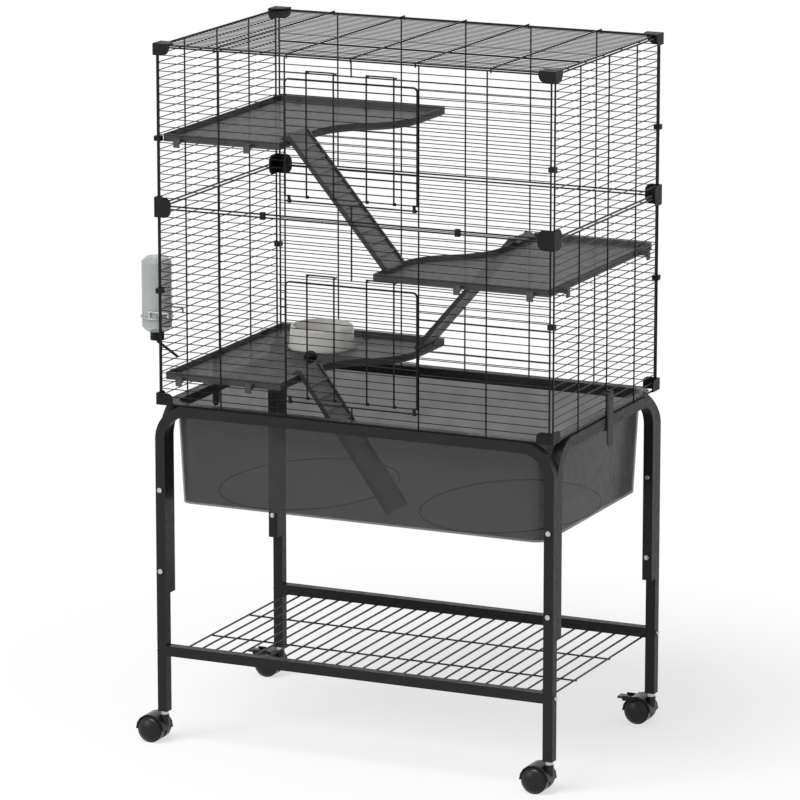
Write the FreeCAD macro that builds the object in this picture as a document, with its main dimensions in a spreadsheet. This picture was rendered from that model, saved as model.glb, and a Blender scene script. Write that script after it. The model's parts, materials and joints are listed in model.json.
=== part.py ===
import FreeCAD, Part
import Sketcher
import math
import os

# A tall wire cage for small pets. It stands on a tube frame with four casters and holds a deep tray.
# Millimetres, +Z up, the front faces -Y, the floor is z = 0 and the origin is under the cage's middle.

SIZES = {
    # stand
    "tube_d": 19,
    "leg_in_x": 2,
    "leg_in_y": 3.5,
    "collar_space": 7,
    "arch_top_z": 637,
    "arch_bend_r": 55,
    "side_leg_len": 351,
    "rail_up": 118,
    "bolt_d": 6,
    "bolt_head_d": 10,
    "bolt_head_h": 3.5,
    "upper_bolt_drop": 151.6,
    "lower_bolt_up": 44.6,
    "rail_bolt_reach": 26,
    "shelf_wire_d": 2.6,
    "shelf_wire_sink": 0.8,
    "shelf_wire_overhang": 3,
    "shelf_wire_inset": 8.2,
    "long_wire_y": 80,
    # casters
    "wheel_r": 25,
    "wheel_w": 15,
    "web_w": 8,
    "wheel_side_gap": 0.6,
    "caster_trail": 22,
    "axle_d": 7,
    "axle_boss_d": 14,
    "hood_gap": 1.6,
    "hood_wall": 2.4,
    "hood_lip_drop": 1,
    "boss_d": 17,
    "boss_over": 3,
    "boss_h": 20,
    "stem_d": 9,
    "stem_collar_d": 16,
    "stem_up": 30,
    "stem_down": 8,
    "lever_w": 20,
    "lever_reach": 16,
    "lever_h": 4,
    "lever_pin_d": 5,
    "lever_up": 21,
    "lever_pin_in": 2,
    # cage panels
    "edge_wire": 2.6,
    "row_wire": 1.4,
    "post_wire": 2.2,
    "row_pitch": 14.6,
    "seam_pitch": 6,
    "front_half_w": 387.5,
    "corner_gap": 4.5,
    "side_half_d": 244.5,
    "post_pitch": 132.5,
    "roof_inner_x": 127,
    "roof_outer_x": 273,
    "roof_hook_drop": 7,
    # doors and latches
    "door_wire": 3,
    "door_side_in": 1.5,
    "door_top_gap": 10.6,
    "door_foot_gap": 10,
    "hinge_wire_d": 3,
    "hinge_sleeve_d": 7,
    "hinge_inset": 7,
    "hinge_w": 6,
    "hinge_strip": 1.2,
    "door_corner_r": 8,
    "latch_inner_x": 32.5,
    "latch_outer_x": 86.5,
    "latch_wire": 2.4,
    "latch_pivot_d": 2.4,
    "latch_sleeve_d": 6,
    "latch_sleeve_w": 5,
    "latch_reach": 12,
    # corner fittings
    "cap_plate": 2.7,
    "cap_flap": 33,
    "cap_h": 22,
    "cap_mid_h": 37.5,
    "cap_round_r": 15,
    "cap_cover_r": 20,
    "seam_round_r": 13,
    "foot_round_r": 10,
    "clip_wall": 2.4,
    "clip_h": 9,
    "seam_clip_left_x": 178,
    "seam_clip_right_x": 208,
    # shelves and ramps
    "shelf_side_gap": 5,
    "shelf_end_gap": 3.5,
    "shelf_front_x": 148,
    "shelf_back_x": 38,
    "shelf_curve_y": -85,
    "shelf_curve_len": 207,
    "shelf_lip": 14,
    "shelf_wall": 3,
    "shelf_rise": 1.2,
    "hook_w": 12,
    "hook_h": 8,
    "hook_out": 5.5,
    "hook_wall": 3,
    "hook_step": 60,
    "hook_inset_x": 32.5,
    "hook_inset_y": 51,
    "ramp_w": 80,
    "ramp_plate": 4,
    "ramp_rim_w": 4,
    "ramp_rim_h": 9,
    "ramp_rung_w": 6,
    "ramp_rung_h": 3,
    "ramp_hook_len": 10,
    "ramp_over": 5,
    "ramp_inset": 32,
    "ramp_curve_gap": 2,
    "lower_ramp_run": 175,
    # tray
    "tray_side_gap": 3.5,
    "tray_end_gap": 3,
    "tray_depth": 190,
    "tray_wall": 3,
    "tray_corner_r": 36,
    "flange_side_w": 12.6,
    "flange_end_w": 13.3,
    "flange_h": 2.6,
    "side_clip_w": 24,
    "side_clip_wall": 3,
    "side_clip_drop": 45,
    "side_clip_lip": 9,
    "side_clip_knuckle": 8,
    "side_clip_sleeve_d": 7,
    "side_clip_round_r": 11,
    # bowl
    "bowl_inset_x": 147.5,
    "bowl_inset_y": 126,
    "bowl_base_r": 64,
    "bowl_rim_r": 60,
    "bowl_foot_h": 13,
    "bowl_h": 44,
    "bowl_wall": 3,
    "knob_d": 26,
    "knob_h": 15,
    "knob_top_d": 18,
    "knob_top_h": 6,
    "knob_inset": 52,
    "knob_from_bowl_y": 123,
    # bottle
    "bottle_r": 28,
    "bottle_inset_y": 57.5,
    "bottle_h": 139,
    "bottle_neck_r": 20,
    "bottle_shoulder_h": 8,
    "bottle_wall": 1.6,
    "bottle_stand_off": 5,
    "bottle_cap_r": 13,
    "bottle_cap_h": 17,
    "spout_d": 5,
    "spout_len": 50,
    "ring_wire_d": 2.6,
    "ring_up": 27,
    "ring_arm": 9,
    # clearances
    "touch_gap": 0.3,
    "fit_gap": 0.05,
    "weld_gap": 0.1,
    "overrun": 2,
}

# Counts, places counted in rows, and the taper in degrees.
COUNTS = {
    "bolt_sides": 8,
    "nut_sides": 6,
    "wheel_sides": 32,
    "hood_sides": 16,
    "stem_collar_sides": 6,
    "lower_rows": 25,
    "upper_rows": 20,
    "roof_rows": 34,
    "door_first_row": 2,
    "door_last_row": 18,
    "door_wires": 15,
    "sleeve_sides": 8,
    "upper_clip_row": 8.5,
    "lower_clip_row": 14.5,
    "upper_shelf_row": 8,
    "middle_shelf_row": 18,
    "lower_shelf_row": 3,
    "ramp_rungs": 11,
    "side_clip_row": 3,
    "knob_sides": 24,
    "bottle_cap_sides": 24,
    "spout_row": 5.5,
    "ring_sides": 32,
    "ring_row": 11,
    "tray_taper": 3,
    "bottle_row": 8.4,
    "shelf_gaps": 27,
}

doc = FreeCAD.newDocument("small_animal_cage")
sheet = doc.addObject("Spreadsheet::Sheet", "Sizes")
for number, (alias, amount) in enumerate({**SIZES, **COUNTS}.items(), 1):
    sheet.set("A%d" % number, alias)
    sheet.set("B%d" % number, str(amount))
    sheet.setAlias("B%d" % number, alias)
doc.recompute()


class Size:
    """A length taken from the sheet: the formula that binds it and its present value."""

    def __init__(self, formula, value):
        self.formula = formula
        self.value = value

    def __add__(self, other):
        return Size("(%s + %s)" % (self.formula, formula_of(other)), self.value + value_of(other))

    def __sub__(self, other):
        return Size("(%s - %s)" % (self.formula, formula_of(other)), self.value - value_of(other))

    def __mul__(self, other):
        return Size("(%s * %s)" % (self.formula, formula_of(other)), self.value * value_of(other))

    def __truediv__(self, other):
        return Size("(%s / %s)" % (self.formula, formula_of(other)), self.value / value_of(other))

    def __neg__(self):
        return Size("(-%s)" % self.formula, -self.value)


def formula_of(amount):
    return amount.formula if isinstance(amount, Size) else str(amount)


def value_of(amount):
    return amount.value if isinstance(amount, Size) else amount


class Sheet:
    """Each size of the sheet under its own name."""


v = Sheet()
for alias in {**SIZES, **COUNTS}:
    setattr(v, alias, Size("Sizes." + alias, float(sheet.get(alias))))
zero = Size("0", 0)
half_tube = v.tube_d / 2
half_edge = v.edge_wire / 2
half_row = v.row_wire / 2
half_post = v.post_wire / 2
half_door = v.door_wire / 2

# Places that follow from the sizes: the panels, the stand inside them and the heights from the floor up.
panel_x = v.front_half_w + v.corner_gap
panel_y = v.side_half_d + v.corner_gap
leg_x = panel_x - v.leg_in_x
leg_y = panel_y - v.leg_in_y
boss_top_z = v.wheel_r * 2 + v.boss_over
leg_foot_z = boss_top_z + v.collar_space
rail_z = leg_foot_z + v.rail_up
side_leg_foot_z = v.arch_top_z - v.side_leg_len
shelf_half_w = v.front_half_w - v.shelf_side_gap
shelf_half_d = v.side_half_d - v.shelf_end_gap

X_AXIS = FreeCAD.Vector(1, 0, 0)
Y_AXIS = FreeCAD.Vector(0, 1, 0)
Z_AXIS = FreeCAD.Vector(0, 0, 1)
ALONG = {
    "x": FreeCAD.Rotation(Y_AXIS, 90),
    "y": FreeCAD.Rotation(X_AXIS, -90),
    "z": FreeCAD.Rotation(),
}
CORNERS = ((-1, -1), (1, -1), (-1, 1), (1, 1))
nodes = []


def turned(x_dir, y_dir):
    """Rotation that carries local X and Y onto the two directions."""
    return FreeCAD.Rotation(x_dir, y_dir, x_dir.cross(y_dir), "XYZ")


def place(obj, x, y, z, rotation=None):
    """Put an object's own origin at a point bound to the sheet."""
    if rotation is not None:
        obj.Placement = FreeCAD.Placement(FreeCAD.Vector(), rotation)
    for axis, amount in zip("xyz", (x, y, z)):
        obj.setExpression("Placement.Base." + axis, amount.formula)
    return obj


def bar(x, y, z):
    """Box between (low, high) pairs."""
    box = doc.addObject("Part::Box", "bar")
    for side, (low, high) in zip(("Length", "Width", "Height"), (x, y, z)):
        box.setExpression(side, (high - low).formula)
    return place(box, x[0], y[0], z[0])


def around(middle, width):
    """The (low, high) pair of a width about its middle."""
    return (middle - width / 2, middle + width / 2)


def rod(axis, start, length, diameter):
    """Round bar along an axis from its start point."""
    cylinder = doc.addObject("Part::Cylinder", "rod")
    cylinder.setExpression("Radius", (diameter / 2).formula)
    cylinder.setExpression("Height", length.formula)
    return place(cylinder, *start, ALONG[axis])


def prism(axis, start, length, diameter, sides):
    """Many-sided bar along an axis, measured across its corners."""
    made = doc.addObject("Part::Prism", "prism")
    made.setExpression("Polygon", sides.formula)
    made.setExpression("Circumradius", (diameter / 2).formula)
    made.setExpression("Height", length.formula)
    return place(made, *start, ALONG[axis])


def bend(centre, bend_r, width, x_dir, y_dir):
    """Quarter bend of a square bar, from x_dir round to y_dir about its centre."""
    axis = x_dir.cross(y_dir)
    start = [spot - width / 2 * int(step) if step else spot for spot, step in zip(centre, axis)]
    discs = []
    for radius in (bend_r + width / 2, bend_r - width / 2):
        disc = doc.addObject("Part::Cylinder", "bend")
        disc.setExpression("Radius", radius.formula)
        disc.setExpression("Height", width.formula)
        disc.Angle = 90
        discs.append(place(disc, *start, turned(x_dir, y_dir)))
    return cut(discs[0], discs[1:])


def rounded(box, edges, radius):
    """A box with some of its edges rounded."""
    fillet = doc.addObject("Part::Fillet", "rounded")
    fillet.Base = box
    fillet.Edges = [(edge, radius.value, radius.value) for edge in edges]
    return fillet


def fuse(pieces, name="union"):
    joined = doc.addObject("Part::MultiFuse", name)
    joined.Shapes = pieces
    joined.Refine = True
    return joined


def cut(base, tools, name="trimmed"):
    trimmed = doc.addObject("Part::Cut", name)
    trimmed.Base = base
    trimmed.Tool = tools[0] if len(tools) == 1 else fuse(tools)
    trimmed.Refine = True
    return trimmed


def group(pieces, name):
    """Identical separate pieces that share one node."""
    together = doc.addObject("Part::Compound", name)
    together.Links = pieces
    return together


def node(obj, label):
    """Name a finished sub-part."""
    obj.Label = label
    nodes.append(obj)
    return obj


def outline(body, name, corners, curves):
    """Closed sketch on the body's XY plane. curves maps a corner's number to (radius, centre, start, end)
    of the arc that leads from it to the next corner, with the two angles in the arc's own sense."""
    plane = [part for part in body.Origin.OriginFeatures if part.Role == "XY_Plane"][0]
    sketch = body.newObject("Sketcher::SketchObject", name)
    sketch.AttachmentSupport = [(plane, "")]
    sketch.MapMode = "FlatFace"
    points = [FreeCAD.Vector(x.value, y.value, 0) for x, y in corners]
    count = len(corners)
    first_end = {}
    for number in range(count):
        if number in curves:
            radius, centre, low, high, starts_here = curves[number]
            middle = FreeCAD.Vector(centre[0].value, centre[1].value, 0)
            circle = Part.Circle(middle, Z_AXIS, radius.value)
            sketch.addGeometry(Part.ArcOfCircle(circle, low, high), False)
            first_end[number] = 1 if starts_here else 2
        else:
            sketch.addGeometry(Part.LineSegment(points[number], points[(number + 1) % count]), False)
            first_end[number] = 1
    for number, (x, y) in enumerate(corners):
        before = (number - 1) % count
        last_end = 3 - first_end[before]
        constrain(sketch, "Coincident", (before, last_end, number, first_end[number]))
        for kind, amount in (("DistanceX", x), ("DistanceY", y)):
            data = (-1, 1, number, first_end[number], amount.value)
            index = constrain(sketch, kind, data)
            sketch.setExpression("Constraints[%d]" % index, amount.formula)
        if number in curves:
            index = constrain(sketch, "Radius", (number, curves[number][0].value))
            sketch.setExpression("Constraints[%d]" % index, curves[number][0].formula)
    return sketch


def constrain(sketch, kind, data):
    return sketch.addConstraint(Sketcher.Constraint(kind, *data))


def feature(body, kind, name, profile, **lengths):
    """PartDesign feature on a sketch with its lengths bound to the sheet."""
    made = body.newObject("PartDesign::" + kind, name)
    made.Profile = profile
    for prop, amount in lengths.items():
        made.setExpression(prop, amount.formula)
    return made


def hollow(body, solid, wall):
    """Open the top face of a solid and leave a wall of one thickness."""
    doc.recompute()
    faces = solid.Shape.Faces
    top = max(range(len(faces)), key=lambda number: faces[number].CenterOfMass.z)
    shell = body.newObject("PartDesign::Thickness", "hollow")
    shell.Base = (solid, ["Face%d" % (top + 1)])
    shell.setExpression("Value", wall.formula)
    shell.Reversed = True
    return shell


def rounded_corners(half_w, half_d, corner_r):
    """Corners and arcs of a rounded rectangle about the origin, for outline."""
    corners = []
    curves = {}
    signs = ((1, -1), (1, 1), (-1, 1), (-1, -1))
    for turn, (sx, sy) in enumerate(signs):
        inner_x = (half_w - corner_r) * sx
        inner_y = (half_d - corner_r) * sy
        before = (inner_x, half_d * sy)
        after = (half_w * sx, inner_y)
        pair = (before, after) if sx * sy < 0 else (after, before)
        low = math.pi * (turn - 1) / 2
        curves[len(corners)] = (corner_r, (inner_x, inner_y), low, low + math.pi / 2, True)
        corners.extend(pair)
    return corners, curves


# Stand: two long arches carry the casters, two short side arches are bolted inside their legs.
side_leg_y = leg_y - v.tube_d - v.touch_gap
bolt_hole_d = v.bolt_d + v.fit_gap * 2
bolt_zs = (v.arch_top_z - v.upper_bolt_drop, side_leg_foot_z + v.lower_bolt_up)


def arch(span, half_span, offset, foot_z):
    """Inverted U of square tube in the plane across `span`, with its legs at +-half_span."""
    shoulder_z = v.arch_top_z - v.arch_bend_r
    reach = half_span - v.arch_bend_r
    outward = X_AXIS if span == "x" else Y_AXIS
    depth = around(offset, v.tube_d)

    def tube(along, z):
        return bar(along, depth, z) if span == "x" else bar(depth, along, z)

    pieces = [tube((-reach, reach), around(v.arch_top_z, v.tube_d))]
    for sign in (-1, 1):
        pieces.append(tube(around(half_span * sign, v.tube_d), (foot_z, shoulder_z)))
        spot = reach * sign
        centre = (spot, offset, shoulder_z) if span == "x" else (offset, spot, shoulder_z)
        pieces.append(bend(centre, v.arch_bend_r, v.tube_d, outward * sign, Z_AXIS))
    return fuse(pieces)


def leg_bolt_holes(offset):
    """Square holes along Y for the carriage bolts that join a long leg to a side leg."""
    through = around(offset, v.tube_d + v.overrun * 2)
    return [
        bar(around(leg_x * sign, bolt_hole_d), through, around(z, bolt_hole_d))
        for sign in (-1, 1)
        for z in bolt_zs
    ]


def long_arch(label, facing):
    """Front (facing -1) or rear (facing 1) arch with its bolt holes and caster sockets."""
    offset = leg_y * facing
    holes = leg_bolt_holes(offset)
    for sign in (-1, 1):
        through = around(leg_x * sign, v.tube_d + v.overrun * 2)
        holes.append(bar(through, around(offset, bolt_hole_d), around(rail_z, bolt_hole_d)))
        socket_foot = leg_foot_z - v.overrun
        socket_d = v.stem_d + v.fit_gap * 2
        socket_length = v.stem_up + v.overrun * 2
        holes.append(rod("z", (leg_x * sign, offset, socket_foot), socket_length, socket_d))
    node(cut(arch("x", leg_x, offset, leg_foot_z), holes), label)


def side_arch(label, sign):
    offset = leg_x * sign
    holes = []
    for facing in (-1, 1):
        through = around(side_leg_y * facing, v.tube_d + v.overrun * 2)
        holes.extend(bar(around(offset, bolt_hole_d), through, around(z, bolt_hole_d)) for z in bolt_zs)
    node(cut(arch("y", side_leg_y, offset, side_leg_foot_z), holes), label)


long_arch("front_arch", -1)
long_arch("rear_arch", 1)
side_arch("left_side_arch", -1)
side_arch("right_side_arch", 1)


def span(inner, outer, sign):
    """(low, high) pair of a stretch that lies on the sign's side of the middle."""
    return (inner * sign, outer * sign) if sign > 0 else (outer * sign, inner * sign)


# Each carriage bolt has its head on the outside of the long leg and its nut on the inside of the side leg.
bolts = []
nuts = []
head_y = leg_y + half_tube + v.touch_gap
nut_y = side_leg_y - half_tube - v.touch_gap
shank_end_y = nut_y - v.bolt_head_h - v.overrun
for sign, facing in CORNERS:
    for z in bolt_zs:
        x = leg_x * sign
        head_start = span(head_y, head_y + v.bolt_head_h, facing)[0]
        head = prism("y", (x, head_start, z), v.bolt_head_h, v.bolt_head_d, v.bolt_sides)
        shank_y = span(shank_end_y, head_y + v.touch_gap, facing)
        shank = bar(around(x, v.bolt_d), shank_y, around(z, v.bolt_d))
        bolts.append(fuse([head, shank]))
        nut_start = span(nut_y - v.bolt_head_h, nut_y, facing)[0]
        nut = prism("y", (x, nut_start, z), v.bolt_head_h, v.bolt_head_d, v.nut_sides)
        bore_y = span(nut_y - v.bolt_head_h - v.overrun, nut_y + v.overrun, facing)
        bore = bar(around(x, bolt_hole_d), bore_y, around(z, bolt_hole_d))
        nuts.append(cut(nut, [bore]))
node(group(bolts, "bolts"), "stand_bolts")
node(group(nuts, "nuts"), "stand_nuts")

# Storage shelf: two square rails with wires welded under them.
rail_end_x = leg_x - half_tube - v.touch_gap
wire_top_z = rail_z - half_tube + v.shelf_wire_sink
wire_z = (wire_top_z - v.shelf_wire_d, wire_top_z)
pieces = []
for facing in (-1, 1):
    rail = bar((-rail_end_x, rail_end_x), around(leg_y * facing, v.tube_d), around(rail_z, v.tube_d))
    ends = []
    for sign in (-1, 1):
        reach_x = span(rail_end_x - v.rail_bolt_reach, rail_end_x + v.overrun, sign)
        ends.append(bar(reach_x, around(leg_y * facing, bolt_hole_d), around(rail_z, bolt_hole_d)))
    pieces.append(cut(rail, ends))
wire_y = (-(leg_y + v.shelf_wire_overhang), leg_y + v.shelf_wire_overhang)
wire_end_x = rail_end_x - v.shelf_wire_inset
wire_step = wire_end_x * 2 / v.shelf_gaps
for number in range(int(v.shelf_gaps.value) + 1):
    middle_x = wire_step * number - wire_end_x
    pieces.append(bar(around(middle_x, v.shelf_wire_d), wire_y, wire_z))
long_top_z = wire_z[0] - v.weld_gap
long_z = (long_top_z - v.shelf_wire_d, long_top_z)
long_end_x = wire_end_x + v.shelf_wire_d / 2
for facing in (-1, 1):
    long_y = around(v.long_wire_y * facing, v.shelf_wire_d)
    pieces.append(bar((-long_end_x, long_end_x), long_y, long_z))
    for sign in (-1, 1):
        weld_x = around(wire_end_x * sign, v.shelf_wire_d)
        pieces.append(bar(weld_x, long_y, (long_z[0], wire_z[1])))
node(fuse(pieces), "storage_shelf")

rail_bolts = []
rail_head_x = leg_x + half_tube + v.touch_gap
rail_shank_end_x = rail_end_x - v.rail_bolt_reach + v.overrun
for sign, facing in CORNERS:
    y = leg_y * facing
    head_start = span(rail_head_x, rail_head_x + v.bolt_head_h, sign)[0]
    head = prism("x", (head_start, y, rail_z), v.bolt_head_h, v.bolt_head_d, v.bolt_sides)
    shank_x = span(rail_shank_end_x, rail_head_x + v.touch_gap, sign)
    rail_bolts.append(fuse([head, bar(shank_x, around(y, v.bolt_d), around(rail_z, v.bolt_d))]))
node(group(rail_bolts, "rail_bolts"), "rail_bolts")

# Casters: a stem in the leg, a hood that swivels on it, twin wheels on one axle, a brake on the rear pair.
caster_w = v.web_w + (v.wheel_side_gap + v.wheel_w) * 2
hood_in_r = v.wheel_r + v.hood_gap
hood_out_r = hood_in_r + v.hood_wall


boss_low_z = boss_top_z - v.boss_h
hood_lip_z = v.wheel_r - v.hood_lip_drop
lever_z = v.wheel_r + v.lever_up
lever_pin_out = hood_out_r - v.lever_pin_in
stems = []


def caster(place_name, sign, facing, braked):
    """One caster that trails to the left of its stem."""
    stem_x = leg_x * sign
    stem_y = leg_y * facing
    axle_x = stem_x - v.caster_trail
    axle_z = v.wheel_r

    stem_low_z = boss_top_z - v.stem_down
    stem_length = leg_foot_z + v.stem_up - stem_low_z
    stem = rod("z", (stem_x, stem_y, stem_low_z), stem_length, v.stem_d)
    collar_z = boss_top_z + v.touch_gap
    collar_h = leg_foot_z - v.touch_gap - collar_z
    collar_spot = (stem_x, stem_y, collar_z)
    stems.append(fuse([stem, prism("z", collar_spot, collar_h, v.stem_collar_d, v.stem_collar_sides)]))

    shell = prism("y", (axle_x, stem_y - caster_w / 2, axle_z), caster_w, hood_out_r * 2, v.hood_sides)
    boss_h = boss_top_z - boss_low_z
    boss = prism("z", (stem_x, stem_y, boss_low_z), boss_h, v.boss_d, v.hood_sides)
    below = bar(around(axle_x, hood_out_r * 4), around(stem_y, caster_w * 2), (-hood_out_r, hood_lip_z))
    lug = prism("y", (axle_x, stem_y - v.web_w / 2, axle_z), v.web_w, v.axle_boss_d, v.hood_sides)
    solid = [cut(fuse([shell, boss]), [below]), lug]
    tools = []
    for side in (-1, 1):
        room_y = span(v.web_w / 2, caster_w / 2 + v.overrun, side)[0] + stem_y
        room_w = v.wheel_w + v.wheel_side_gap + v.overrun
        tools.append(prism("y", (axle_x, room_y, axle_z), room_w, hood_in_r * 2, v.hood_sides))
    hole_y = stem_y - v.web_w / 2 - v.overrun
    axle_hole_d = v.axle_d + v.fit_gap * 2
    tools.append(rod("y", (axle_x, hole_y, axle_z), v.web_w + v.overrun * 2, axle_hole_d))
    stem_hole_z = stem_low_z - v.touch_gap
    stem_hole_d = v.stem_d + v.fit_gap * 2
    stem_hole_h = boss_top_z + v.overrun - stem_hole_z
    tools.append(rod("z", (stem_x, stem_y, stem_hole_z), stem_hole_h, stem_hole_d))
    lever_pin_x = axle_x - lever_pin_out
    if braked:
        ear_x = (lever_pin_x - v.lever_pin_d, axle_x - v.wheel_w)
        ear_z = around(lever_z, v.lever_pin_d * 2)
        for side in (-1, 1):
            ear_y = around(stem_y + (v.lever_w / 2 + v.hood_wall) * side, v.hood_wall)
            solid.append(bar(ear_x, ear_y, ear_z))
        pin_hole_w = v.lever_w + v.hood_wall * 4
        pin_hole_y = stem_y - pin_hole_w / 2
        tools.append(rod("y", (lever_pin_x, pin_hole_y, lever_z), pin_hole_w, v.lever_pin_d))
    node(cut(fuse(solid), tools), place_name + "_caster_hood")

    wheels = []
    for side in (-1, 1):
        wheel_y = span(v.web_w / 2 + v.wheel_side_gap, caster_w / 2, side)[0] + stem_y
        wheels.append(prism("y", (axle_x, wheel_y, axle_z), v.wheel_w, v.wheel_r * 2, v.wheel_sides))
    axle_y = stem_y - caster_w / 2 + v.overrun
    wheels.append(rod("y", (axle_x, axle_y, axle_z), caster_w - v.overrun * 2, v.axle_d))
    node(fuse(wheels), place_name + "_caster_wheels")

    if braked:
        pin_d = v.lever_pin_d - v.fit_gap * 2
        pin_w = v.lever_w + v.hood_wall * 2
        pin = rod("y", (lever_pin_x, stem_y - pin_w / 2, lever_z), pin_w, pin_d)
        pad_x = (lever_pin_x - v.lever_reach, lever_pin_x)
        pad = bar(pad_x, around(stem_y, v.lever_w), around(lever_z, v.lever_h))
        node(fuse([pin, pad]), place_name + "_brake_lever")


caster("front_left", -1, -1, False)
caster("front_right", 1, -1, False)
caster("rear_left", -1, 1, True)
caster("rear_right", 1, 1, True)
node(group(stems, "stems"), "caster_stems")

# Deep tray: tapered walls hang inside the arches, and its flange lies on their top tubes.
flange_z = v.arch_top_z + half_tube + v.touch_gap
tray_half_w = leg_x - half_tube - v.tray_side_gap
tray_half_d = leg_y - half_tube - v.tray_end_gap
flange_half_w = tray_half_w + v.flange_side_w
flange_half_d = tray_half_d + v.flange_end_w
tray = doc.addObject("PartDesign::Body", "tray_body")
well = outline(tray, "well", *rounded_corners(tray_half_w, tray_half_d, v.tray_corner_r))
solid = feature(tray, "Pad", "well_solid", well, Length=v.tray_depth, TaperAngle=-v.tray_taper)
solid.Reversed = True
rim = outline(tray, "rim", *rounded_corners(flange_half_w, flange_half_d, v.tray_corner_r))
feature(tray, "Pad", "flange", rim, Length=v.flange_h)
mouth_half_w = tray_half_w - v.tray_wall
mouth_half_d = tray_half_d - v.tray_wall
mouth_r = v.tray_corner_r - v.tray_wall
mouth_corners = rounded_corners(mouth_half_w, mouth_half_d, mouth_r)
mouth = outline(tray, "mouth", *mouth_corners)
opening = feature(tray, "Pocket", "flange_mouth", mouth, Length=v.flange_h + v.overrun)
opening.Reversed = True
room = outline(tray, "room", *mouth_corners)
room_depth = v.tray_depth - v.tray_wall
feature(tray, "Pocket", "well_room", room, Length=room_depth, TaperAngle=-v.tray_taper)
place(tray, zero, zero, flange_z)
node(tray, "deep_tray")

# Cage panels: a frame of edge wire, closely spaced rows flush with its inner face, and posts outside it.
lower_z = v.arch_top_z + half_tube + v.touch_gap + half_edge
lower_top_z = lower_z + v.row_pitch * v.lower_rows
upper_z = lower_top_z + v.seam_pitch
upper_top_z = upper_z + v.row_pitch * v.upper_rows
post_out = half_row + v.weld_gap + half_post
edge_out = half_edge - half_row
edge_x = panel_x + edge_out
edge_y = panel_y + edge_out
hinge_y = panel_y + (v.hinge_wire_d - v.row_wire) / 2
side_clip_z = lower_z + v.row_pitch * v.side_clip_row


def panel(label, across, half, offset, facing, low_z, rows, post_spots, door=False, round_row=None):
    """Wire panel in the plane across `across` ("x" or "y"), `offset` from the middle towards `facing`."""
    top_z = low_z + v.row_pitch * rows
    plane = offset * facing
    edge_plane = (offset + edge_out) * facing
    post_plane = (offset + post_out) * facing

    def wire(along, depth, z):
        return bar(along, depth, z) if across == "x" else bar(depth, along, z)

    full = (-(half + half_edge), half + half_edge)
    inner = (-half, half)
    jamb = v.post_pitch - half_post
    pieces = []
    for z in (low_z, top_z):
        pieces.append(wire(full, around(edge_plane, v.edge_wire), around(z, v.edge_wire)))
    for sign in (-1, 1):
        pieces.append(wire(around(half * sign, v.edge_wire), around(edge_plane, v.edge_wire), (low_z, top_z)))
    for row in range(1, int(rows.value)):
        z = low_z + v.row_pitch * row
        depth = around(plane, v.row_wire)
        height = around(z, v.row_wire)
        in_door = door and v.door_first_row.value <= row < v.door_last_row.value
        if door and row == v.door_first_row.value:
            pieces.append(rod("x", (-v.post_pitch, -hinge_y, z), v.post_pitch * 2, v.hinge_wire_d))
        if in_door:
            pieces.append(wire((-half, -jamb), depth, height))
            pieces.append(wire((jamb, half), depth, height))
        elif round_row is not None and row == round_row.value:
            pieces.append(rod("y", (plane, -half, z), half * 2, v.row_wire))
        else:
            pieces.append(wire(inner, depth, height))
    for spot in post_spots:
        along = around(v.post_pitch * spot, v.post_wire)
        depth = around(post_plane, v.post_wire)
        ends = (low_z - half_edge, top_z + half_edge)
        if door and spot == 0:
            first_z = low_z + v.row_pitch * v.door_first_row
            last_z = low_z + v.row_pitch * v.door_last_row
            pieces.append(wire(along, depth, (ends[0], first_z)))
            pieces.append(wire(along, depth, (last_z - half_row, ends[1])))
        else:
            pieces.append(wire(along, depth, ends))
    node(fuse(pieces), label)


LONG_POSTS = (-2, -1, 0, 1, 2)
SIDE_POSTS = (-1, 0, 1)
panel("front_lower_panel", "x", v.front_half_w, panel_y, -1, lower_z, v.lower_rows, LONG_POSTS, door=True)
panel("front_upper_panel", "x", v.front_half_w, panel_y, -1, upper_z, v.upper_rows, LONG_POSTS, door=True)
panel("rear_lower_panel", "x", v.front_half_w, panel_y, 1, lower_z, v.lower_rows, LONG_POSTS)
panel("rear_upper_panel", "x", v.front_half_w, panel_y, 1, upper_z, v.upper_rows, LONG_POSTS)
for name, facing in (("left", -1), ("right", 1)):
    panel(name + "_lower_panel", "y", v.side_half_d, panel_x, facing, lower_z, v.lower_rows, SIDE_POSTS,
          round_row=v.side_clip_row)
    panel(name + "_upper_panel", "y", v.side_half_d, panel_x, facing, upper_z, v.upper_rows, SIDE_POSTS)

# Roof: one panel on the top edge wires, with cross wires whose ends hook over the front and rear panels.
roof_z = upper_top_z + v.edge_wire + v.touch_gap
roof_top_z = roof_z + half_edge
roof_pitch = v.side_half_d * 2 / v.roof_rows
pieces = []
for facing in (-1, 1):
    full = (-(v.front_half_w + half_edge), v.front_half_w + half_edge)
    pieces.append(bar(full, around(v.side_half_d * facing, v.edge_wire), around(roof_z, v.edge_wire)))
for sign in (-1, 1):
    end_x = around(v.front_half_w * sign, v.edge_wire)
    pieces.append(bar(end_x, (-v.side_half_d, v.side_half_d), around(roof_z, v.edge_wire)))
for row in range(1, int(v.roof_rows.value)):
    row_y = around(roof_pitch * row - v.side_half_d, v.row_wire)
    pieces.append(bar((-v.front_half_w, v.front_half_w), row_y, around(roof_z, v.row_wire)))
hook_y = panel_y + post_out + half_post + v.touch_gap + v.post_wire
cross_z = around(roof_z + post_out, v.post_wire)
for x in (-v.roof_outer_x, -v.roof_inner_x, zero, v.roof_inner_x, v.roof_outer_x):
    along_x = around(x, v.post_wire)
    pieces.append(bar(along_x, (-hook_y, hook_y), cross_z))
    for facing in (-1, 1):
        tip_y = around((hook_y - half_post) * facing, v.post_wire)
        pieces.append(bar(along_x, tip_y, (cross_z[0] - v.roof_hook_drop, cross_z[1])))
node(fuse(pieces), "roof_panel")

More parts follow.
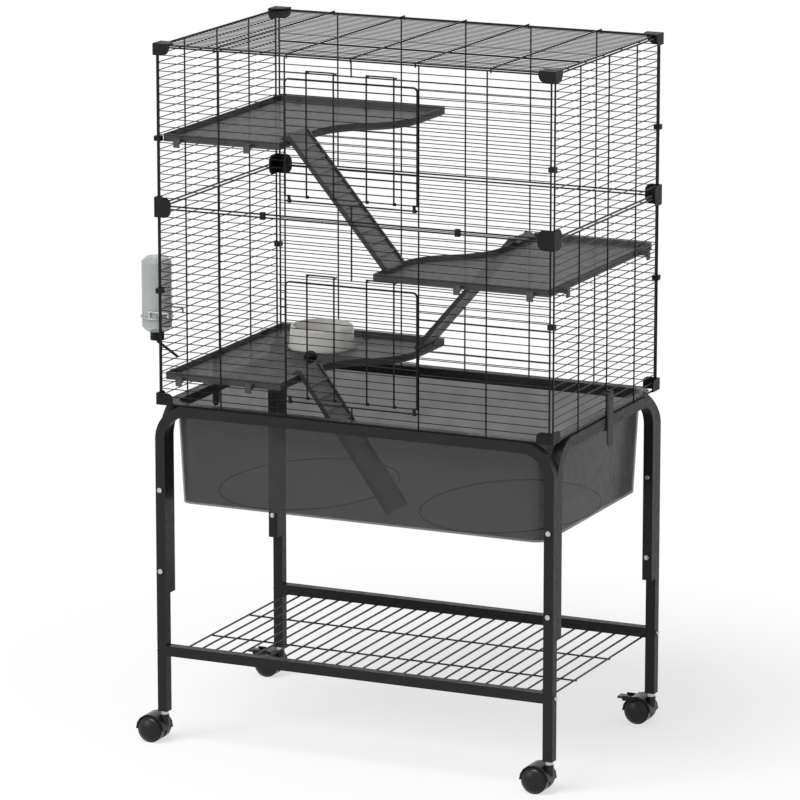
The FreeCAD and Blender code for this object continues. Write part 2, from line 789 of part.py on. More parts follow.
# Doors hinge on the wire under their opening. Two long wire latches pivot on each door's lowest wire.
door_y = panel_y + post_out + half_post + v.touch_gap + half_door
latch_y = door_y + half_door + v.touch_gap + v.latch_wire / 2
door_half_w = v.post_pitch - v.door_side_in
hinge_x = door_half_w - v.hinge_inset
doorway_h = v.row_pitch * (v.door_last_row - v.door_first_row)
door_pitch = (doorway_h - v.door_top_gap - v.door_foot_gap) / v.door_wires


def door(label, low_z):
    """Flat wire door, and the two loops behind its foot that turn on the hinge wire."""
    hinge_z = low_z + v.row_pitch * v.door_first_row
    lowest_z = hinge_z + v.door_foot_gap
    foot_z = lowest_z - v.latch_pivot_d / 2
    top_z = hinge_z + doorway_h - v.door_top_gap
    depth = around(-door_y, v.door_wire)
    corner_x = door_half_w - v.door_corner_r
    corner_z = top_z - v.door_corner_r
    pieces = [bar((-corner_x, corner_x), depth, around(top_z, v.door_wire))]
    loops = []
    for sign in (-1, 1):
        pieces.append(bar(around(door_half_w * sign, v.door_wire), depth, (foot_z, corner_z)))
        centre = (corner_x * sign, -door_y, corner_z)
        pieces.append(bend(centre, v.door_corner_r, v.door_wire, X_AXIS * sign, Z_AXIS))
        along = around(hinge_x * sign, v.hinge_w)
        sleeve_spot = (along[0], -hinge_y, hinge_z)
        sleeve = prism("x", sleeve_spot, v.hinge_w, v.hinge_sleeve_d, v.sleeve_sides)
        strip_y = depth[1] + v.touch_gap
        strip = bar(along, (strip_y, strip_y + v.hinge_strip), (hinge_z, lowest_z + v.latch_pivot_d / 2))
        bore_d = v.hinge_wire_d + v.fit_gap * 2
        bore_x = along[0] - v.overrun
        bore = rod("x", (bore_x, -hinge_y, hinge_z), v.hinge_w + v.overrun * 2, bore_d)
        loops.append(cut(fuse([sleeve, strip]), [bore]))
    inner = (-door_half_w, door_half_w)
    for number in range(1, int(v.door_wires.value)):
        z = top_z - door_pitch * number
        pieces.append(bar(inner, around(-door_y, v.row_wire), around(z, v.row_wire)))
    pieces.append(rod("x", (-door_half_w, -door_y, lowest_z), door_half_w * 2, v.latch_pivot_d))
    node(fuse(pieces), label)
    node(group(loops, "loops"), label + "_hinges")


def latch(label, low_z, side):
    hinge_z = low_z + v.row_pitch * v.door_first_row
    pivot_z = hinge_z + v.door_foot_gap
    catch_z = low_z + v.row_pitch * v.door_last_row
    tooth_z = catch_z + half_row + v.latch_wire / 2
    bar_z = tooth_z + v.latch_wire
    top_z = bar_z + v.latch_wire
    depth = around(-latch_y, v.latch_wire)
    xs = (v.latch_inner_x * side, v.latch_outer_x * side)
    pieces = []
    for x in xs:
        leg = bar(around(x, v.latch_wire), depth, (pivot_z, top_z))
        tooth_y = (depth[0], -(latch_y - v.latch_reach))
        tooth = bar(around(x, v.latch_wire), tooth_y, (tooth_z, bar_z))
        sleeve_x = x - v.latch_sleeve_w / 2
        sleeve_spot = (sleeve_x, -door_y, pivot_z)
        sleeve = prism("x", sleeve_spot, v.latch_sleeve_w, v.latch_sleeve_d, v.sleeve_sides)
        bore_d = v.latch_pivot_d + v.fit_gap * 2
        bore_x = sleeve_x - v.overrun
        bore = rod("x", (bore_x, -door_y, pivot_z), v.latch_sleeve_w + v.overrun * 2, bore_d)
        pieces.extend([leg, tooth, cut(sleeve, [bore])])
    reach = (xs[0], xs[1]) if side > 0 else (xs[1], xs[0])
    pieces.append(bar(reach, depth, (bar_z, top_z)))
    node(fuse(pieces), label)


for name, low_z in (("lower", lower_z), ("upper", upper_z)):
    door(name + "_door", low_z)
    latch(name + "_left_latch", low_z, -1)
    latch(name + "_right_latch", low_z, 1)

# Moulded corner fittings and small clips hold the panels together.
flap_in_y = edge_y + half_edge + v.touch_gap
flap_in_x = edge_x + half_edge + v.touch_gap
flap_out_y = flap_in_y + v.cap_plate
flap_out_x = flap_in_x + v.cap_plate


def corner_fitting(sign, facing, z, round_r, rounds, roofed=False):
    """Angle plate outside one corner of the cage, with round free ends at its low or high side, or both,
    and a cover plate where it holds the roof."""
    wide_x = span(flap_out_x - v.cap_flap, flap_out_x, sign)
    thin_y = span(flap_in_y, flap_out_y, facing)
    thin_x = span(flap_in_x, flap_out_x, sign)
    wide_y = span(flap_out_y - v.cap_flap, flap_out_y, facing)
    front_ends = {"high": 2, "low": 4} if sign > 0 else {"high": 6, "low": 8}
    side_ends = {"high": 10, "low": 9} if facing > 0 else {"high": 12, "low": 11}
    front = rounded(bar(wide_x, thin_y, z), [front_ends[end] for end in rounds], round_r)
    side = rounded(bar(thin_x, wide_y, z), [side_ends[end] for end in rounds], round_r)
    pieces = [front, side]
    if roofed:
        inner_edge = {(1, 1): 1, (1, -1): 3, (-1, 1): 5, (-1, -1): 7}[sign, facing]
        cover = bar(wide_x, wide_y, (z[1] - v.cap_plate, z[1]))
        pieces.append(rounded(cover, [inner_edge], v.cap_cover_r))
    return fuse(pieces)


cap_top_z = roof_top_z + v.touch_gap + v.cap_plate
cap_z = (cap_top_z - v.cap_h, cap_top_z)
seam_z = lower_top_z + v.seam_pitch / 2
foot_low_z = v.arch_top_z + half_tube + v.touch_gap
foot_z = (foot_low_z, foot_low_z + v.cap_h)
mid_z = around(seam_z, v.cap_mid_h)
caps = [corner_fitting(*corner, cap_z, v.cap_round_r, ["low"], True) for corner in CORNERS]
joiners = [corner_fitting(*corner, mid_z, v.seam_round_r, ["low", "high"]) for corner in CORNERS]
brackets = [corner_fitting(*corner, foot_z, v.foot_round_r, ["high"]) for corner in CORNERS]
node(group(caps, "caps"), "roof_corner_caps")
node(group(joiners, "joiners"), "seam_corner_joiners")
node(group(brackets, "brackets"), "base_corner_brackets")

clips = []
wire_hole = v.edge_wire + v.fit_gap * 2
for sign, facing in CORNERS:
    for row_z in (lower_z + v.row_pitch * v.lower_clip_row, upper_z + v.row_pitch * v.upper_clip_row):
        reach = half_edge + v.clip_wall
        block_x = span(v.front_half_w - reach, edge_x + reach, sign)
        block_y = span(v.side_half_d - reach, edge_y + reach, facing)
        block = bar(block_x, block_y, around(row_z, v.clip_h))
        hole_z = around(row_z, v.clip_h + v.overrun * 2)
        hole_x = around(v.front_half_w * sign, wire_hole)
        hole_y = around(edge_y * facing, wire_hole)
        front_hole = bar(hole_x, hole_y, hole_z)
        side_hole_x = around(edge_x * sign, wire_hole)
        side_hole_y = around(v.side_half_d * facing, wire_hole)
        clips.append(cut(block, [front_hole, bar(side_hole_x, side_hole_y, hole_z)]))
for x in (-v.seam_clip_left_x, v.seam_clip_right_x):
    reach = half_edge + v.clip_wall
    block_y = around(-edge_y, reach * 2)
    block = bar(around(x, v.clip_h), block_y, (lower_top_z - reach, upper_z + reach))
    hole_x = around(x, v.clip_h + v.overrun * 2)
    hole_y = around(-edge_y, wire_hole)
    holes = [bar(hole_x, hole_y, around(z, wire_hole)) for z in (lower_top_z, upper_z)]
    clips.append(cut(block, holes))
node(group(clips, "clips"), "edge_clips")


# Shelves: a moulded floor with a raised lip and hooks that hang it on the panel wires.
hook_near_x = v.shelf_front_x + v.hook_step
hook_far_x = shelf_half_w - v.hook_inset_x
hook_side_y = shelf_half_d - v.hook_inset_y


def shelf(label, row_z, half_turn):
    """Shelf that fills the left of the cage and is wider at the back, or its half turn."""
    body = doc.addObject("PartDesign::Body", label + "_body")
    step = v.shelf_front_x - v.shelf_back_x
    curve_r = (step * step + v.shelf_curve_len * v.shelf_curve_len) / (step * 4)
    sweep = math.asin(v.shelf_curve_len.value / 2 / curve_r.value)
    middle = (step / 2 - v.shelf_front_x, v.shelf_curve_y + v.shelf_curve_len / 2)
    end_y = v.shelf_curve_y + v.shelf_curve_len
    corners = [
        (-shelf_half_w, -shelf_half_d),
        (-v.shelf_front_x, -shelf_half_d),
        (-v.shelf_front_x, v.shelf_curve_y),
        middle,
        (-v.shelf_back_x, end_y),
        (-v.shelf_back_x, shelf_half_d),
        (-shelf_half_w, shelf_half_d),
    ]
    hollow_centre = (curve_r - v.shelf_front_x, v.shelf_curve_y)
    round_centre = (-(curve_r + v.shelf_back_x), end_y)
    curves = {
        2: (curve_r, hollow_centre, math.pi - sweep, math.pi, False),
        3: (curve_r, round_centre, -sweep, 0, True),
    }
    floor = outline(body, label + "_outline", corners, curves)
    block = feature(body, "Pad", label + "_block", floor, Length=v.shelf_lip)
    hollow(body, block, v.shelf_wall)
    pieces = [body]
    reach_y = panel_y + half_row + v.hook_out
    reach_x = panel_x + half_row + v.hook_out
    up = (zero, v.hook_h)
    down = (-v.hook_h, v.hook_h)
    for facing in (-1, 1):
        for x in (-hook_far_x, -hook_near_x):
            along = around(x, v.hook_w)
            inner_y = shelf_half_d - v.shelf_wall
            pieces.append(bar(along, span(inner_y, reach_y, facing), up))
            pieces.append(bar(along, span(reach_y - v.hook_wall, reach_y, facing), down))
    for facing in (-1, 1):
        along = around(hook_side_y * facing, v.hook_w)
        inner_x = shelf_half_w - v.shelf_wall
        pieces.append(bar((-reach_x, -inner_x), along, up))
        pieces.append(bar((-reach_x, -(reach_x - v.hook_wall)), along, down))
    rotation = FreeCAD.Rotation(Z_AXIS, 180 if half_turn else 0)
    node(place(fuse(pieces), zero, zero, row_z + v.shelf_rise, rotation), label)


upper_shelf_z = upper_z + v.row_pitch * v.upper_shelf_row
middle_shelf_z = lower_z + v.row_pitch * v.middle_shelf_row
lower_shelf_z = lower_z + v.row_pitch * v.lower_shelf_row
shelf("upper_shelf", upper_shelf_z, False)
shelf("middle_shelf", middle_shelf_z, True)
shelf("lower_shelf", lower_shelf_z, False)


# Ramps: rimmed planks with rungs, hooked over one shelf's lip and resting on the level below.
def ramp(label, start_z, end_z, run, middle_y, half_turn):
    """Plank from a shelf lip at start_z down to end_z over a run to the right, or its half turn."""
    drop = start_z - end_z
    tilt = math.degrees(math.atan2(drop.value, run.value))
    length = Size("sqrt((%s)^2 + (%s)^2)" % (drop.formula, run.formula), math.hypot(drop.value, run.value))
    plank_x = (-v.ramp_over, length + v.ramp_over)
    plank_z = (v.touch_gap, v.touch_gap + v.ramp_plate)
    pieces = [bar(plank_x, around(zero, v.ramp_w), plank_z)]
    rim_top = plank_z[0] + v.ramp_rim_h
    for side in (-1, 1):
        rim_y = around((v.ramp_w - v.ramp_rim_w) / 2 * side, v.ramp_rim_w)
        pieces.append(bar(plank_x, rim_y, (plank_z[0], rim_top)))
    rung_pitch = length / v.ramp_rungs
    for number in range(1, int(v.ramp_rungs.value)):
        rung_x = around(rung_pitch * number, v.ramp_rung_w)
        pieces.append(bar(rung_x, around(zero, v.ramp_w), (plank_z[0], plank_z[1] + v.ramp_rung_h)))
    hook_x = (-(v.ramp_over + v.ramp_plate), -v.ramp_over)
    hook_z = (plank_z[0] - v.ramp_hook_len, plank_z[1])
    pieces.append(bar(hook_x, around(zero, v.ramp_w), hook_z))
    lean = FreeCAD.Rotation(Y_AXIS, tilt)
    facing = -1 if half_turn else 1
    rotation = FreeCAD.Rotation(Z_AXIS, 180 if half_turn else 0).multiply(lean)
    start_x = v.shelf_front_x * -facing
    node(place(fuse(pieces), start_x, middle_y * facing, start_z, rotation), label)


upper_ramp_y = v.ramp_inset + v.ramp_w / 2 - shelf_half_d
lower_ramp_y = v.shelf_curve_y - v.ramp_curve_gap - v.ramp_w / 2
lip_rise = v.shelf_rise + v.shelf_lip + v.touch_gap
shelf_run = v.shelf_front_x + v.shelf_back_x + v.shelf_wall
tray_floor_z = flange_z - v.tray_depth + v.tray_wall
tray_end_z = tray_floor_z + v.touch_gap
ramp("upper_ramp", upper_shelf_z + lip_rise, middle_shelf_z + lip_rise, shelf_run, upper_ramp_y, False)
ramp("middle_ramp", middle_shelf_z + lip_rise, lower_shelf_z + lip_rise, shelf_run, upper_ramp_y, True)
ramp("lower_ramp", lower_shelf_z + lip_rise, tray_end_z + v.ramp_over, v.lower_ramp_run, lower_ramp_y, False)


# Side clips hang on a wire of each side panel and lock the cage down over the side arch's tube.
side_clip_low_z = v.arch_top_z - v.side_clip_drop


def side_clip(label, sign):
    inner_x = leg_x + half_tube + v.touch_gap * 2
    plate_x = span(inner_x, inner_x + v.side_clip_wall, sign)
    under_z = v.arch_top_z - half_tube - v.overrun
    across = around(zero, v.side_clip_w)
    tongue = bar(plate_x, across, (side_clip_low_z, side_clip_z))
    plate = rounded(tongue, [9, 11], v.side_clip_round_r)
    lip_x = span(inner_x - v.side_clip_lip, inner_x + v.side_clip_wall, sign)
    pieces = [plate, bar(lip_x, across, (under_z - v.side_clip_wall, under_z))]
    for facing in (-1, 1):
        knuckle_y = span(v.side_clip_w / 2 - v.side_clip_knuckle, v.side_clip_w / 2, facing)
        start = (panel_x * sign, knuckle_y[0], side_clip_z)
        pieces.append(prism("y", start, v.side_clip_knuckle, v.side_clip_sleeve_d, v.sleeve_sides))
        arm_x = span(panel_x + half_post, inner_x + v.side_clip_wall, sign)
        pieces.append(bar(arm_x, knuckle_y, around(side_clip_z, v.side_clip_wall)))
    bore_y = -(v.side_clip_w / 2 + v.overrun)
    bore_length = v.side_clip_w + v.overrun * 2
    bore_d = v.row_wire + v.fit_gap * 2
    bore = rod("y", (panel_x * sign, bore_y, side_clip_z), bore_length, bore_d)
    node(cut(fuse(pieces), [bore]), label)


side_clip("left_side_clip", -1)
side_clip("right_side_clip", 1)

# Food bowl on the lower shelf, wider at its base, and a round knob in front of it.
bowl_z = lower_shelf_z + v.shelf_rise + v.shelf_wall + v.touch_gap


def upright(diameter, height, x, y, z):
    """Round solid that stands on z."""
    return rod("z", (x, y, z), height, diameter)


bowl_x = v.bowl_inset_x - shelf_half_w
bowl_y = shelf_half_d - v.bowl_inset_y
bowl_spot = (bowl_x, bowl_y)
bowl_foot = upright(v.bowl_base_r * 2, v.bowl_foot_h, *bowl_spot, bowl_z)
bowl_wall = upright(v.bowl_rim_r * 2, v.bowl_h, *bowl_spot, bowl_z)
bowl_room = upright((v.bowl_rim_r - v.bowl_wall) * 2, v.bowl_h, *bowl_spot, bowl_z + v.bowl_wall)
node(cut(fuse([bowl_foot, bowl_wall]), [bowl_room]), "food_bowl")

knob_spot = (-(v.shelf_front_x + v.knob_inset), bowl_y - v.knob_from_bowl_y, bowl_z)
knob_body = prism("z", knob_spot, v.knob_h, v.knob_d, v.knob_sides)
knob_top = prism("z", knob_spot, v.knob_h + v.knob_top_h, v.knob_top_d, v.knob_sides)
node(fuse([knob_body, knob_top]), "round_knob")

# Water bottle outside the left panel, upside down in a wire ring, with its spout between two rows.
bottle_x = -(panel_x + post_out + half_post + v.bottle_stand_off + v.bottle_r)
bottle_y = v.bottle_inset_y - v.side_half_d
bottle_low_z = lower_z + v.row_pitch * v.bottle_row
ring_z = bottle_low_z + v.ring_up
bottle_spot = (bottle_x, bottle_y)
shoulder_z = bottle_low_z + v.bottle_shoulder_h
barrel_h = v.bottle_h - v.bottle_shoulder_h * 2
top_shoulder_z = shoulder_z + barrel_h


def shoulder(low_r, high_r, z):
    """Sloped end of the bottle."""
    made = doc.addObject("Part::Cone", "shoulder")
    made.setExpression("Radius1", low_r.formula)
    made.setExpression("Radius2", high_r.formula)
    made.setExpression("Height", v.bottle_shoulder_h.formula)
    return place(made, *bottle_spot, z)


barrel = upright(v.bottle_r * 2, barrel_h, *bottle_spot, shoulder_z)
low_shoulder = shoulder(v.bottle_neck_r, v.bottle_r, bottle_low_z)
top_shoulder = shoulder(v.bottle_r, v.bottle_neck_r, top_shoulder_z)
water_room = upright((v.bottle_r - v.bottle_wall) * 2, barrel_h, *bottle_spot, shoulder_z)
node(cut(fuse([barrel, low_shoulder, top_shoulder]), [water_room]), "bottle_body")

cap_low_z = bottle_low_z - v.touch_gap - v.bottle_cap_h
cap_spot = (*bottle_spot, cap_low_z)
node(prism("z", cap_spot, v.bottle_cap_h, v.bottle_cap_r * 2, v.bottle_cap_sides), "bottle_cap")

# The spout slants from the cap through the middle of a gap between two rows.
spout_z = cap_low_z - v.spout_d / 2 - v.touch_gap
spout_drop = spout_z - (lower_z + v.row_pitch * v.spout_row)
spout_lean = math.degrees(math.atan2(spout_drop.value, -panel_x.value - bottle_x.value))
spout = doc.addObject("Part::Cylinder", "spout")
spout.setExpression("Radius", (v.spout_d / 2).formula)
spout.setExpression("Height", v.spout_len.formula)
place(spout, bottle_x, bottle_y, spout_z, FreeCAD.Rotation(Y_AXIS, 90 + spout_lean))
node(spout, "bottle_spout")

# The holder is a wire ring round the bottle with two arms that hook over a row of the panel.
ring_in_r = v.bottle_r + v.touch_gap * 2
ring_low_z = ring_z - v.ring_wire_d / 2
ring_d = (ring_in_r + v.ring_wire_d) * 2
ring_out = prism("z", (*bottle_spot, ring_low_z), v.ring_wire_d, ring_d, v.ring_sides)
ring_room_h = v.ring_wire_d + v.overrun * 2
ring_room_spot = (*bottle_spot, ring_low_z - v.overrun)
ring_room = prism("z", ring_room_spot, ring_room_h, ring_in_r * 2, v.ring_sides)
pieces = [cut(ring_out, [ring_room])]
hook_tip_x = -(panel_x - half_row - v.touch_gap - v.ring_wire_d)
hang_z = lower_z + v.row_pitch * v.ring_row + half_row + v.touch_gap
hang_top_z = hang_z + v.ring_wire_d
for side in (-1, 1):
    arm_y = around(bottle_y + (ring_in_r + v.ring_wire_d / 2) * side, v.ring_wire_d)
    pieces.append(bar((bottle_x, hook_tip_x), arm_y, (hang_z, hang_top_z)))
    pieces.append(bar(around(bottle_x, v.ring_wire_d), arm_y, (ring_z, hang_top_z)))
    tip_x = (hook_tip_x - v.ring_wire_d, hook_tip_x)
    pieces.append(bar(tip_x, arm_y, (hang_z - v.ring_arm, hang_top_z)))
node(fuse(pieces), "bottle_holder")

doc.recompute()
for obj in doc.Objects:
    if "Invalid" in obj.State or "Error" in obj.State:
        raise RuntimeError("%s did not build: %s" % (obj.Label, obj.State))
os.makedirs("parts", exist_ok=True)
for obj in nodes:
    if obj.Shape.isNull() or not obj.Shape.isValid():
        raise RuntimeError("%s has no valid shape" % obj.Label)
    obj.Shape.exportStep("parts/%s.step" % obj.Label)
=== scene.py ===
import json
import math

import bpy
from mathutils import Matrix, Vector


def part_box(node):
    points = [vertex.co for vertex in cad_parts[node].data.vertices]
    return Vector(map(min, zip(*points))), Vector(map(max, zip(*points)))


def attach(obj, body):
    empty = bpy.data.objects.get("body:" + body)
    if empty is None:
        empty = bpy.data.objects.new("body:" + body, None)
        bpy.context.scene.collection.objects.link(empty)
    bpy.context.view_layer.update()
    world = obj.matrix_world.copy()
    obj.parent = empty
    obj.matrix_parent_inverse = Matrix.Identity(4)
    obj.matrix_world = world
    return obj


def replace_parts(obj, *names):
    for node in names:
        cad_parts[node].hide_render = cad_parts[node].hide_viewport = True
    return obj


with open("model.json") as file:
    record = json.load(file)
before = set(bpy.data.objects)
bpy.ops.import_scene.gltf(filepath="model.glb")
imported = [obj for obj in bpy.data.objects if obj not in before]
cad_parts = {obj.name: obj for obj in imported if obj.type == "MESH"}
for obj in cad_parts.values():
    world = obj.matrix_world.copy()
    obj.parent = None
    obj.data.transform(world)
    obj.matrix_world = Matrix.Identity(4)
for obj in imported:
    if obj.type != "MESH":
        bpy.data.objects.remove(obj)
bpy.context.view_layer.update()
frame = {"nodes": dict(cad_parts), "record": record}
nodes = frame["nodes"]

MM = 0.001

# The photographer's place in metres and degrees, found from the straight edges of the cage.
CAMERA_PLACE = (3.8413, -8.3809, 2.7312)
CAMERA_TILT = 77.222
CAMERA_TURN = 24.735
CAMERA_REACH = 100
LENS_MM = 229.5
SENSOR_MM = 36
VIEW_SIDE = 800

# Domed wheel faces: share of the wheel's radius, height in millimetres, facets around and across.
DOME_SHARE = 0.93
DOME_HEIGHT = 9
DOME_FACETS = 32
DOME_RINGS = 16

# Oval ridges on the tray's floor in millimetres, their stretch from front to back, and their facets.
TRAY_WALL = 3
RING_X = 206
RING_HALF_WIDTH = 158
RING_STRETCH = 1.34
RING_RIDGE = 1.2
RING_FACETS = 64
RIDGE_FACETS = 8

# Facets around the bowl and the knob, and up the knob.
TURN_STEPS = 48
BALL_STEPS = 16

# The bowl's section from under its middle, out over the rim and down to its floor, in shares of its box.
BOWL_PROFILE = (
    (0.0, 0.0), (0.96, 0.0), (1.0, 0.03), (0.99, 0.12), (0.935, 0.88), (0.92, 0.96), (0.89, 1.0),
    (0.86, 1.0), (0.85, 0.97), (0.79, 0.22), (0.74, 0.12), (0.62, 0.08), (0.0, 0.08),
)

# Rounded edges: widths in millimetres, steps in the round, and the degrees from which a bend is an edge.
FITTING_ROUND = 0.8
TUBE_ROUND = 1.2
ROUND_STEPS = 2
ROUND_FROM = 40
FITTINGS = ("roof_corner_caps", "seam_corner_joiners", "base_corner_brackets")
TUBES = ("front_arch", "rear_arch", "left_side_arch", "right_side_arch", "storage_shelf")

# Nodes whose facets stand for curves, the degrees from which a bend stays sharp, and the joining gap in mm.
ROUND_NODES = (
    "_caster_hood", "_caster_wheels", "bottle_body", "bottle_cap", "_tray",
    "upper_shelf", "middle_shelf", "lower_shelf",
)
SHARP_FROM = 32
JOIN_GAP = 0.01

# Colours matched to the photograph; a veil tints what shows through a plastic.
COAT = "#1d1d1e"
WIRE_COAT = "#0a0a0b"
SMOKE = "#474748"
SMOKE_VEIL = "#d3d3d4"
SHELF_GREY = "#5a5a5b"
RAMP_GREY = "#7c7c7d"
SHELF_VEIL = "#bdbdbe"
# Painted shade: the dark tone that the upright lips of shelves and ramps blend towards.
PAINTED_LIP_SHADE = "#2e2e2f"
BLACK_PLASTIC = "#121213"
BOWL_WHITE = "#eeece8"
BOWL_VEIL = "#f0efec"
BOTTLE_CLEAR = "#c4c5c5"
BOTTLE_VEIL = "#e4e5e5"
ZINC = "#b9bbbd"
FLOOR_PALE = "#f4f4f4"
WHITE = (1, 1, 1, 1)

# Noise lies mostly between these two values.
NOISE_LOW = 0.3
NOISE_HIGH = 0.7

# Shiny patches and cloudy patches, as multiples of a surface's fine grain.
PATCH_GRAINS = 12
CLOUD_GRAINS = 40
CLOUD_SWING = 0.04
RELIEF_STRENGTH = 0.5

# A face is upright up to the first share of level and flat from the second; upright faces get painted shade.
UPRIGHT_TO = 0.15
FLAT_FROM = 0.4

# How much of the flat tone is left on upright lips under their painted shade.
SHELF_UNSHADED_LIP_SHARE = 0.6
RAMP_UNSHADED_LIP_SHARE = 0.1

# The floor's side, and how its shadow shows beside the cage and fades out into white, in metres.
FLOOR_SIDE = 60
SHADOW_SHARE = 0.35
SHADOW_NEAR = 0.6
SHADOW_FAR = 1.3

# The surround's glow, and the lamps with their places and widths in metres and their watts.
SURROUND_GLOW = 0.45
LAMP_AIM = (0, 0, 0.7)
LAMPS = (
    ("key_light", (-0.8, -2.8, 5.2), 3.0, 260),
    ("front_light", (-3.5, -5.0, 1.8), 2.5, 60),
)


def linear(colour):
    """sRGB hex to the linear values that shaders take."""
    parts = [int(colour[place:place + 2], 16) / 255 for place in (1, 3, 5)]
    return tuple(c / 12.92 if c <= 0.04045 else ((c + 0.055) / 1.055) ** 2.4 for c in parts) + (1,)


def add(tree, kind, inputs=None, **settings):
    """One shader node with its settings, its constants and its links."""
    made = tree.nodes.new("ShaderNode" + kind)
    for name, value in settings.items():
        setattr(made, name, value)
    for socket, value in (inputs or {}).items():
        if isinstance(value, bpy.types.NodeSocket):
            tree.links.new(value, made.inputs[socket])
        else:
            made.inputs[socket].default_value = value
    return made


def new_material(name):
    """An empty material and its node tree."""
    material = bpy.data.materials.new(name)
    material.use_nodes = True
    material.node_tree.nodes.clear()
    return material, material.node_tree


def finish_material(material, tree, shader):
    """Lead the shader to the material's surface."""
    add(tree, "OutputMaterial", {"Surface": shader})
    return material


def grain(tree, size_mm, detail):
    """Noise with a grain of size_mm in the object's own space."""
    place = add(tree, "TexCoord").outputs["Object"]
    inputs = {"Vector": place, "Scale": 1 / (size_mm * MM), "Detail": detail}
    return add(tree, "TexNoise", inputs).outputs["Fac"]


def patches(tree, size_mm, detail, low, high):
    """A value that wanders from low to high over patches of size_mm."""
    inputs = {
        "Value": grain(tree, size_mm, detail),
        "From Min": NOISE_LOW,
        "From Max": NOISE_HIGH,
        "To Min": low,
        "To Max": high,
    }
    return add(tree, "MapRange", inputs).outputs["Result"]


def surface(tree, colour, rough, relief_mm, grain_mm, gloss=0.5, metal=0.0):
    """Surface whose roughness and relief vary with two grains."""
    relief = grain(tree, grain_mm, detail=2)
    bump = add(tree, "Bump", {"Height": relief, "Distance": relief_mm * MM, "Strength": RELIEF_STRENGTH})
    inputs = {
        "Base Color": linear(colour),
        "Roughness": patches(tree, grain_mm * PATCH_GRAINS, 3, *rough),
        "Normal": bump.outputs["Normal"],
        "Specular IOR Level": gloss,
        "Metallic": metal,
    }
    return add(tree, "BsdfPrincipled", inputs).outputs["BSDF"]


def powder_coat():
    """Baked black powder coat: a soft sheen broken by fine orange peel, which reads as coated steel."""
    material, tree = new_material("black_powder_coat")
    skin = surface(tree, COAT, rough=(0.32, 0.5), relief_mm=0.05, grain_mm=0.9, gloss=0.16)
    return finish_material(material, tree, skin)


def wire_coat():
    """The same coat on thin wire, where it lies thinner and glossier: dark lines with small glints."""
    material, tree = new_material("black_wire_coat")
    skin = surface(tree, WIRE_COAT, rough=(0.3, 0.45), relief_mm=0.03, grain_mm=0.5, gloss=0.15)
    return finish_material(material, tree, skin)


def moulded_black():
    """Matte black polypropylene with moulding grain, duller than the coated wire beside it."""
    material, tree = new_material("black_polypropylene")
    skin = surface(tree, BLACK_PLASTIC, rough=(0.4, 0.6), relief_mm=0.04, grain_mm=0.6, gloss=0.15)
    return finish_material(material, tree, skin)


def caster_nylon():
    """Smooth black nylon of the casters, whose soft highlights show the domes and hoods as round."""
    material, tree = new_material("black_nylon")
    skin = surface(tree, BLACK_PLASTIC, rough=(0.22, 0.34), relief_mm=0.01, grain_mm=0.8, gloss=0.28)
    return finish_material(material, tree, skin)


def zinc_plate():
    """Bright zinc plate, faintly cloudy, which makes the bolts and caster collars glint."""
    material, tree = new_material("zinc_plated_steel")
    skin = surface(tree, ZINC, rough=(0.22, 0.4), relief_mm=0.02, grain_mm=0.5, metal=1.0)
    return finish_material(material, tree, skin)


def painted_lip_shade_mask(tree, unshaded_lip_share):
    """Mask for painted shade: one on level faces and on ramps, less on upright lips, which get the painted
    shade.
    """
    way = add(tree, "TexCoord").outputs["Normal"]
    up = add(tree, "SeparateXYZ", {"Vector": way}).outputs["Z"]
    level = add(tree, "Math", {0: up}, operation="ABSOLUTE").outputs["Value"]
    inputs = {"Value": level, "From Min": UPRIGHT_TO, "From Max": FLAT_FROM, "To Min": unshaded_lip_share}
    return add(tree, "MapRange", inputs).outputs["Result"]


def see_through(name, colour, veil, clear_share, rough, grain_mm, gloss=0.5, unshaded_lip_share=1):
    """Tinted plastic that lets part of the light straight through; upright lips may get painted shade."""
    material, tree = new_material(name)
    skin = surface(tree, colour, rough, relief_mm=0.01, grain_mm=grain_mm, gloss=gloss)
    clear = add(tree, "BsdfTransparent", {"Color": linear(veil)}).outputs["BSDF"]
    cloud_mm = grain_mm * CLOUD_GRAINS
    cloud = patches(tree, cloud_mm, 2, clear_share - CLOUD_SWING, clear_share + CLOUD_SWING)
    shader = add(tree, "MixShader", {0: cloud, 1: skin, 2: clear}).outputs["Shader"]
    # Painted shade: upright lips blend towards a dark tone.
    if unshaded_lip_share < 1:
        shaded_lip = surface(tree, PAINTED_LIP_SHADE, rough, relief_mm=0.01, grain_mm=grain_mm, gloss=gloss)
        lip_shade_mask = painted_lip_shade_mask(tree, unshaded_lip_share)
        shader = add(tree, "MixShader", {0: lip_shade_mask, 1: shaded_lip, 2: shader}).outputs["Shader"]
    return finish_material(material, tree, shader)


def smoke_tray():
    """Smoky see-through polystyrene: the far rim and the ramp show dimly through the tray's front wall."""
    return see_through(
        "smoky_polystyrene", SMOKE, SMOKE_VEIL, clear_share=0.6, rough=(0.18, 0.34), grain_mm=1.2)


def shelf_plastic(name, colour, unshaded_lip_share):
    """Dark grey shelf plastic, slightly see-through and finely grained, with painted shade on its upright
    lips.
    """
    return see_through(
        name, colour, SHELF_VEIL, clear_share=0.4, rough=(0.35, 0.55), grain_mm=0.8,
        gloss=0.2, unshaded_lip_share=unshaded_lip_share)


def bowl_plastic():
    """Milky white bowl plastic that lets a little light glow through its wall."""
    return see_through(
        "milky_bowl_plastic", BOWL_WHITE, BOWL_VEIL, clear_share=0.2, rough=(0.14, 0.28), grain_mm=1.0)


def bottle_plastic():
    """Frosted clear bottle wall: mostly see-through with a pale veil and a soft highlight."""
    return see_through(
        "frosted_bottle_plastic", BOTTLE_CLEAR, BOTTLE_VEIL, clear_share=0.6, rough=(0.15, 0.3), grain_mm=1.5)


